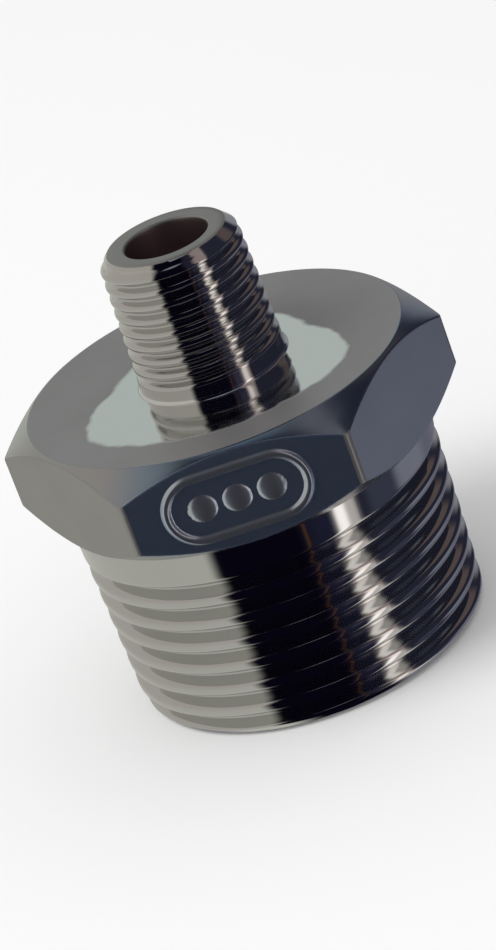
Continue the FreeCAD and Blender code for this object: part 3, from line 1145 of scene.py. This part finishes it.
@dataclass
class Studio:
    """The pale floor, the lamps, the tent that the steel reflects, and the camera.

    Attributes:
        azimuth: Degrees that the camera stands round from -Y towards +X.
        elevation: Degrees that it looks down.
        roll: Degrees that it is rolled.
        distance: Its distance from the target.
        target_height: Height of the target on the axis.
        lens: Its focal length.
        shift: Shift of its view, as shares of its longer side.
        base: What the tent emits where no glow lies.
        glows: The glows on the tent, each laid over those before it.
    """

    azimuth: float = 5.04
    elevation: float = 23.95
    roll: float = -20.34
    distance: float = 371.1
    target_height: float = 23.55
    lens: float = 158.17
    shift: tuple[float, float] = (0.0176, -0.0638)
    base: tuple[float, float, float] = (0.003, 0.0024, 0.008)
    glows: tuple[Glow, ...] = (
        # The light overhead
        Glow(0.0, 90.0, 400.0, 14.0, 4.0, (0.30, 0.33, 0.36)),
        # The dark front, a little lighter on the right, with a thin rusty line in it
        Glow(31.0, 10.0, 14.0, 76.0, 14.0, (0.014, 0.016, 0.038), (0.024, 0.023, 0.044)),
        Glow(29.0, 6.0, 6.0, 24.0, 6.0, (0.05, 0.046, 0.075)),
        Glow(17.0, -20.0, 0.8, 60.0, 1.0, (0.10, 0.045, 0.02)),
        # The grey panel on the left and its further end
        Glow(-113.5, -2.0, 71.5, 72.0, 9.0, (0.57, 0.58, 0.53), (0.50, 0.465, 0.435), 3.2),
        Glow(-167.0, 15.0, 14.0, 26.0, 10.0, (0.58, 0.60, 0.54)),
        # The panel on the right, its bright near edge and a light high on it
        Glow(106.0, 2.0, 71.0, 74.0, 8.0, (0.70, 0.67, 0.65), (0.36, 0.29, 0.28), 2.8),
        Glow(41.5, -3.0, 3.8, 52.0, 3.5, (1.6, 1.55, 1.5), (1.0, 0.85, 0.80)),
        Glow(54.0, 52.0, 14.0, 14.0, 6.0, (0.34, 0.27, 0.27)),
        # The dark field that leaves only that panel's rim, and dim lights on the field
        Glow(108.0, 3.0, 59.5, 62.0, 6.0, (0.024, 0.026, 0.046), squareness=2.5),
        Glow(127.0, 42.0, 16.0, 18.0, 7.0, (0.12, 0.092, 0.09)),
        Glow(138.0, -39.0, 40.0, 17.0, 8.0, (0.155, 0.16, 0.215)),
        Glow(104.0, -25.5, 18.0, 6.0, 5.0, (0.22, 0.235, 0.30)),
        Glow(168.0, -39.0, 28.0, 13.0, 8.0, (0.22, 0.21, 0.26)),
        Glow(74.0, -34.0, 12.0, 12.0, 8.0, (0.05, 0.055, 0.09)),
        # The lights behind the fitting, which its upper faces show
        Glow(158.0, 4.0, 14.0, 20.0, 8.0, (0.30, 0.305, 0.34)),
        Glow(180.0, 25.0, 21.0, 18.0, 8.0, (0.20, 0.21, 0.20)),
        Glow(180.0, 25.0, 15.0, 11.0, 5.0, (0.47, 0.515, 0.495)),
    )

    @property
    def target(self) -> Vector:
        """The point that the camera and the softbox look at, in metres."""
        return Vector((0.0, 0.0, self.target_height * MM))

    def light(self, azimuth: np.ndarray, elevation: np.ndarray) -> np.ndarray:
        """What the tent emits in each direction: its base with every glow laid over it.

        Args:
            azimuth: Azimuth of each direction, in degrees.
            elevation: Elevation of each direction, in degrees.

        Returns:
            Colours, shape (..., 3).
        """
        colour = np.broadcast_to(np.array(self.base), (*azimuth.shape, 3))
        for glow in self.glows:
            colour = glow.paint(colour, azimuth, elevation)
        return colour

    def tent(self) -> bpy.types.Object:
        """Makes the sphere of soft light that only reflections see.

        It has a point about every degree round and up, whose light is kept in an attribute of
        the mesh.

        Returns:
            The tent, which is staging and not a part of the fitting.
        """
        columns, rows, radius, highest = 360, 180, 0.6, 89.9
        azimuth, elevation = np.meshgrid(
            np.arange(columns) * 360.0 / columns - 180.0, np.linspace(-highest, highest, rows)
        )
        turned = np.radians(azimuth + self.azimuth - 90.0)
        level = np.cos(np.radians(elevation))
        points = radius * np.stack(
            [level * np.cos(turned), level * np.sin(turned), np.sin(np.radians(elevation))], -1
        )
        points = points.reshape(-1, 3) + np.array(self.target)
        numbers = np.arange(rows * columns).reshape(rows, columns)
        right = np.roll(numbers, -1, axis=1)
        faces = np.stack([numbers[1:], numbers[:-1], right[:-1], right[1:]], -1).reshape(-1, 4)
        mesh = make_mesh("tent", points / MM, faces, np.zeros(len(faces)))
        colour = self.light(azimuth, elevation).reshape(-1, 3)
        opaque = np.concatenate([colour, np.ones((len(colour), 1))], axis=1)
        light = mesh.attributes.new("light", "FLOAT_COLOR", "POINT")
        light.data.foreach_set("color", opaque.astype(np.float32).ravel())
        material = bpy.data.materials.new("tent_light")
        material.use_nodes = True
        nodes, links = material.node_tree.nodes, material.node_tree.links
        nodes.clear()
        reader = nodes.new("ShaderNodeAttribute")
        reader.attribute_name = "light"
        emitter = nodes.new("ShaderNodeEmission")
        result = nodes.new("ShaderNodeOutputMaterial")
        links.new(reader.outputs["Color"], emitter.inputs["Color"])
        links.new(emitter.outputs[0], result.inputs["Surface"])
        mesh.materials.append(material)
        tent = bpy.data.objects.new("tent", mesh)
        bpy.context.scene.collection.objects.link(tent)
        for ray in ("camera", "diffuse", "transmission", "volume_scatter", "shadow"):
            setattr(tent, f"visible_{ray}", False)
        return tent

    def floor(self) -> bpy.types.Object:
        """Makes the pale floor, which keeps the fitting's shadow and is clear from below.

        It lies a hair under the end face, so that the two don't share a plane.

        Returns:
            The floor, which is staging and not a part of the fitting.
        """
        half, level = 1.5, -0.02 * MM
        corners = [(-half, -half, level), (half, -half, level), (half, half, level),
                   (-half, half, level)]
        mesh = bpy.data.meshes.new("floor")
        mesh.from_pydata(corners, [], [(0, 1, 2, 3)])
        material = bpy.data.materials.new("floor_paper")
        material.use_nodes = True
        shader = material.node_tree.nodes["Principled BSDF"]
        shader.inputs["Base Color"].default_value = (0.9, 0.9, 0.9, 1.0)
        shader.inputs["Roughness"].default_value = 0.9
        shader.inputs["Specular IOR Level"].default_value = 0.0
        nodes, links = material.node_tree.nodes, material.node_tree.links
        side = nodes.new("ShaderNodeNewGeometry")
        clear = nodes.new("ShaderNodeBsdfTransparent")
        either = nodes.new("ShaderNodeMixShader")
        links.new(side.outputs["Backfacing"], either.inputs[0])
        links.new(shader.outputs[0], either.inputs[1])
        links.new(clear.outputs[0], either.inputs[2])
        links.new(either.outputs[0], nodes["Material Output"].inputs["Surface"])
        mesh.materials.append(material)
        floor = bpy.data.objects.new("floor", mesh)
        bpy.context.scene.collection.objects.link(floor)
        floor.visible_glossy = False
        return floor

    def lamps(self) -> None:
        """Lights the floor with an even sky and one broad lamp that casts a soft shadow."""
        world = bpy.data.worlds.new("sky")
        world.use_nodes = True
        sky = world.node_tree.nodes["Background"]
        sky.inputs["Color"].default_value = (1.0, 1.0, 1.0, 1.0)
        sky.inputs["Strength"].default_value = 0.75
        bpy.context.scene.world = world
        lamp = bpy.data.lights.new("softbox", "AREA")
        lamp.energy = 4.0
        lamp.size = 0.5
        softbox = bpy.data.objects.new("softbox", lamp)
        softbox.location = (-0.5, -0.2, 0.8)
        aim = self.target - softbox.location
        softbox.rotation_euler = aim.to_track_quat("-Z", "Y").to_euler()
        softbox.visible_glossy = False
        bpy.context.scene.collection.objects.link(softbox)

    def camera(self) -> bpy.types.Object:
        """Makes the camera: it looks down at the hexagon and is rolled as in the picture.

        Returns:
            The camera, which is the scene's own.
        """
        turn, rise = math.radians(self.azimuth), math.radians(self.elevation)
        roll = math.radians(self.roll)
        back = Vector(
            (math.sin(turn) * math.cos(rise), -math.cos(turn) * math.cos(rise), math.sin(rise))
        )
        right = Vector((math.cos(turn), math.sin(turn), 0.0))
        upward = back.cross(right)
        across = right * math.cos(roll) + upward * math.sin(roll)
        along = -right * math.sin(roll) + upward * math.cos(roll)
        data = bpy.data.cameras.new("camera")
        data.lens = self.lens
        data.sensor_width = 36.0
        data.shift_x, data.shift_y = self.shift
        data.clip_start, data.clip_end = 0.01, 10.0
        camera = bpy.data.objects.new("camera", data)
        facing = Matrix((across, along, back)).transposed().to_4x4()
        camera.matrix_world = Matrix.Translation(self.target + back * self.distance * MM) @ facing
        bpy.context.scene.collection.objects.link(camera)
        bpy.context.scene.camera = camera
        return camera

    def build(self) -> None:
        """Sets the stage and plain view settings."""
        self.floor()
        self.tent()
        self.lamps()
        self.camera()
        bpy.context.scene.view_settings.view_transform = "Standard"


def main() -> None:
    """Builds the fitting, its relief and the studio."""
    logging.basicConfig(level=logging.INFO, format="%(message)s")
    groups = (grain_group(), blotch_group(), polish_sheen_group(), shade_group())
    materials = {zone: finish.material(*groups) for zone, finish in FINISHES.items()}
    body = NippleBody().build()
    for zone in Zone:
        body.data.materials.append(materials[zone])
    LOG.info("%s: %d faces", body.name, len(body.data.polygons))
    relief = CastRelief().build()
    relief.data.materials.append(materials[Zone.RELIEF])
    LOG.info("%s: %d faces", relief.name, len(relief.data.polygons))
    Studio().build()


if __name__ == "__main__":
    main()
